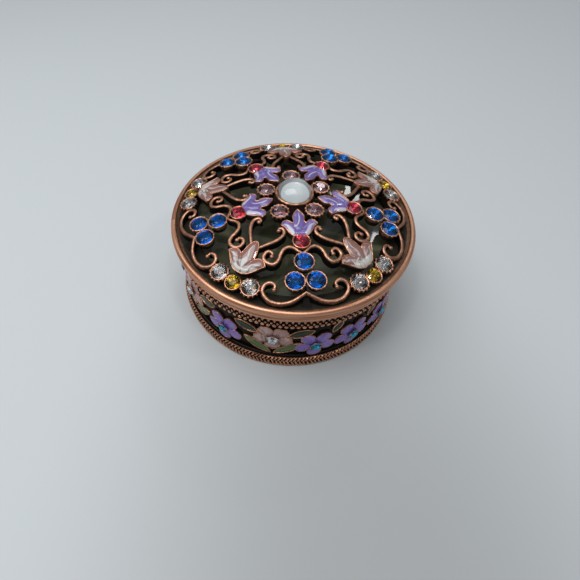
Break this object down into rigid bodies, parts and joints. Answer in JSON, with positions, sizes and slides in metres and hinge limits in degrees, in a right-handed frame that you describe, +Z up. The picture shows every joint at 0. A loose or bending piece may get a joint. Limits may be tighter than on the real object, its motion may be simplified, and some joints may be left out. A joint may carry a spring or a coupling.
{
  "type": "jeweled trinket box",
  "caption": "Small round antique-copper trinket box with a lift-off domed lid of openwork scrolls, enamel flowers and faceted glass stones over a dark pane.",
  "frame": {"origin": "middle of the flat underside of the box, on the surface it stands on", "axes": "+Z up through the middle of the lid, with a tulip of the lid's five-fold pattern towards -Y, the side that faces the viewer"},
  "size_m": [0.07, 0.07, 0.0396],
  "materials": {
    "antique_copper": "satin",
    "dark_glass": "gloss",
    "clear_glass": "polished",
    "amethyst_glass": "polished",
    "red_glass": "polished",
    "blue_glass": "polished",
    "yellow_glass": "polished",
    "aqua_glass": "polished"
  },
  "bodies": {
    "root": {"box": "antique_copper", "lid": "antique_copper", "pane": "dark_glass", "cabochon": "clear_glass", "amethyst_1": "amethyst_glass", "amethyst_2": "amethyst_glass", "amethyst_3": "amethyst_glass", "amethyst_4": "amethyst_glass", "amethyst_5": "amethyst_glass", "red_stone_1": "red_glass", "red_stone_2": "red_glass", "red_stone_3": "red_glass", "red_stone_4": "red_glass", "red_stone_5": "red_glass", "blue_stone_1": "blue_glass", "blue_stone_2": "blue_glass", "blue_stone_3": "blue_glass", "blue_stone_4": "blue_glass", "blue_stone_5": "blue_glass", "blue_stone_6": "blue_glass", "blue_stone_7": "blue_glass", "blue_stone_8": "blue_glass", "blue_stone_9": "blue_glass", "blue_stone_10": "blue_glass", "blue_stone_11": "blue_glass", "blue_stone_12": "blue_glass", "blue_stone_13": "blue_glass", "blue_stone_14": "blue_glass", "blue_stone_15": "blue_glass", "yellow_stone_1": "yellow_glass", "yellow_stone_2": "yellow_glass", "yellow_stone_3": "yellow_glass", "yellow_stone_4": "yellow_glass", "yellow_stone_5": "yellow_glass", "clear_stone_1": "clear_glass", "clear_stone_2": "clear_glass", "clear_stone_3": "clear_glass", "clear_stone_4": "clear_glass", "clear_stone_5": "clear_glass", "clear_stone_6": "clear_glass", "clear_stone_7": "clear_glass", "clear_stone_8": "clear_glass", "clear_stone_9": "clear_glass", "clear_stone_10": "clear_glass", "side_aqua_1": "aqua_glass", "side_aqua_2": "aqua_glass", "side_aqua_3": "aqua_glass", "side_aqua_4": "aqua_glass", "side_aqua_5": "aqua_glass", "side_aqua_6": "aqua_glass", "side_aqua_7": "aqua_glass", "side_aqua_8": "aqua_glass", "side_aqua_9": "aqua_glass", "side_aqua_10": "aqua_glass", "side_clear_1": "clear_glass", "side_clear_2": "clear_glass", "side_clear_3": "clear_glass", "side_clear_4": "clear_glass", "side_clear_5": "clear_glass", "side_clear_6": "clear_glass"}
  },
  "joints": []
}
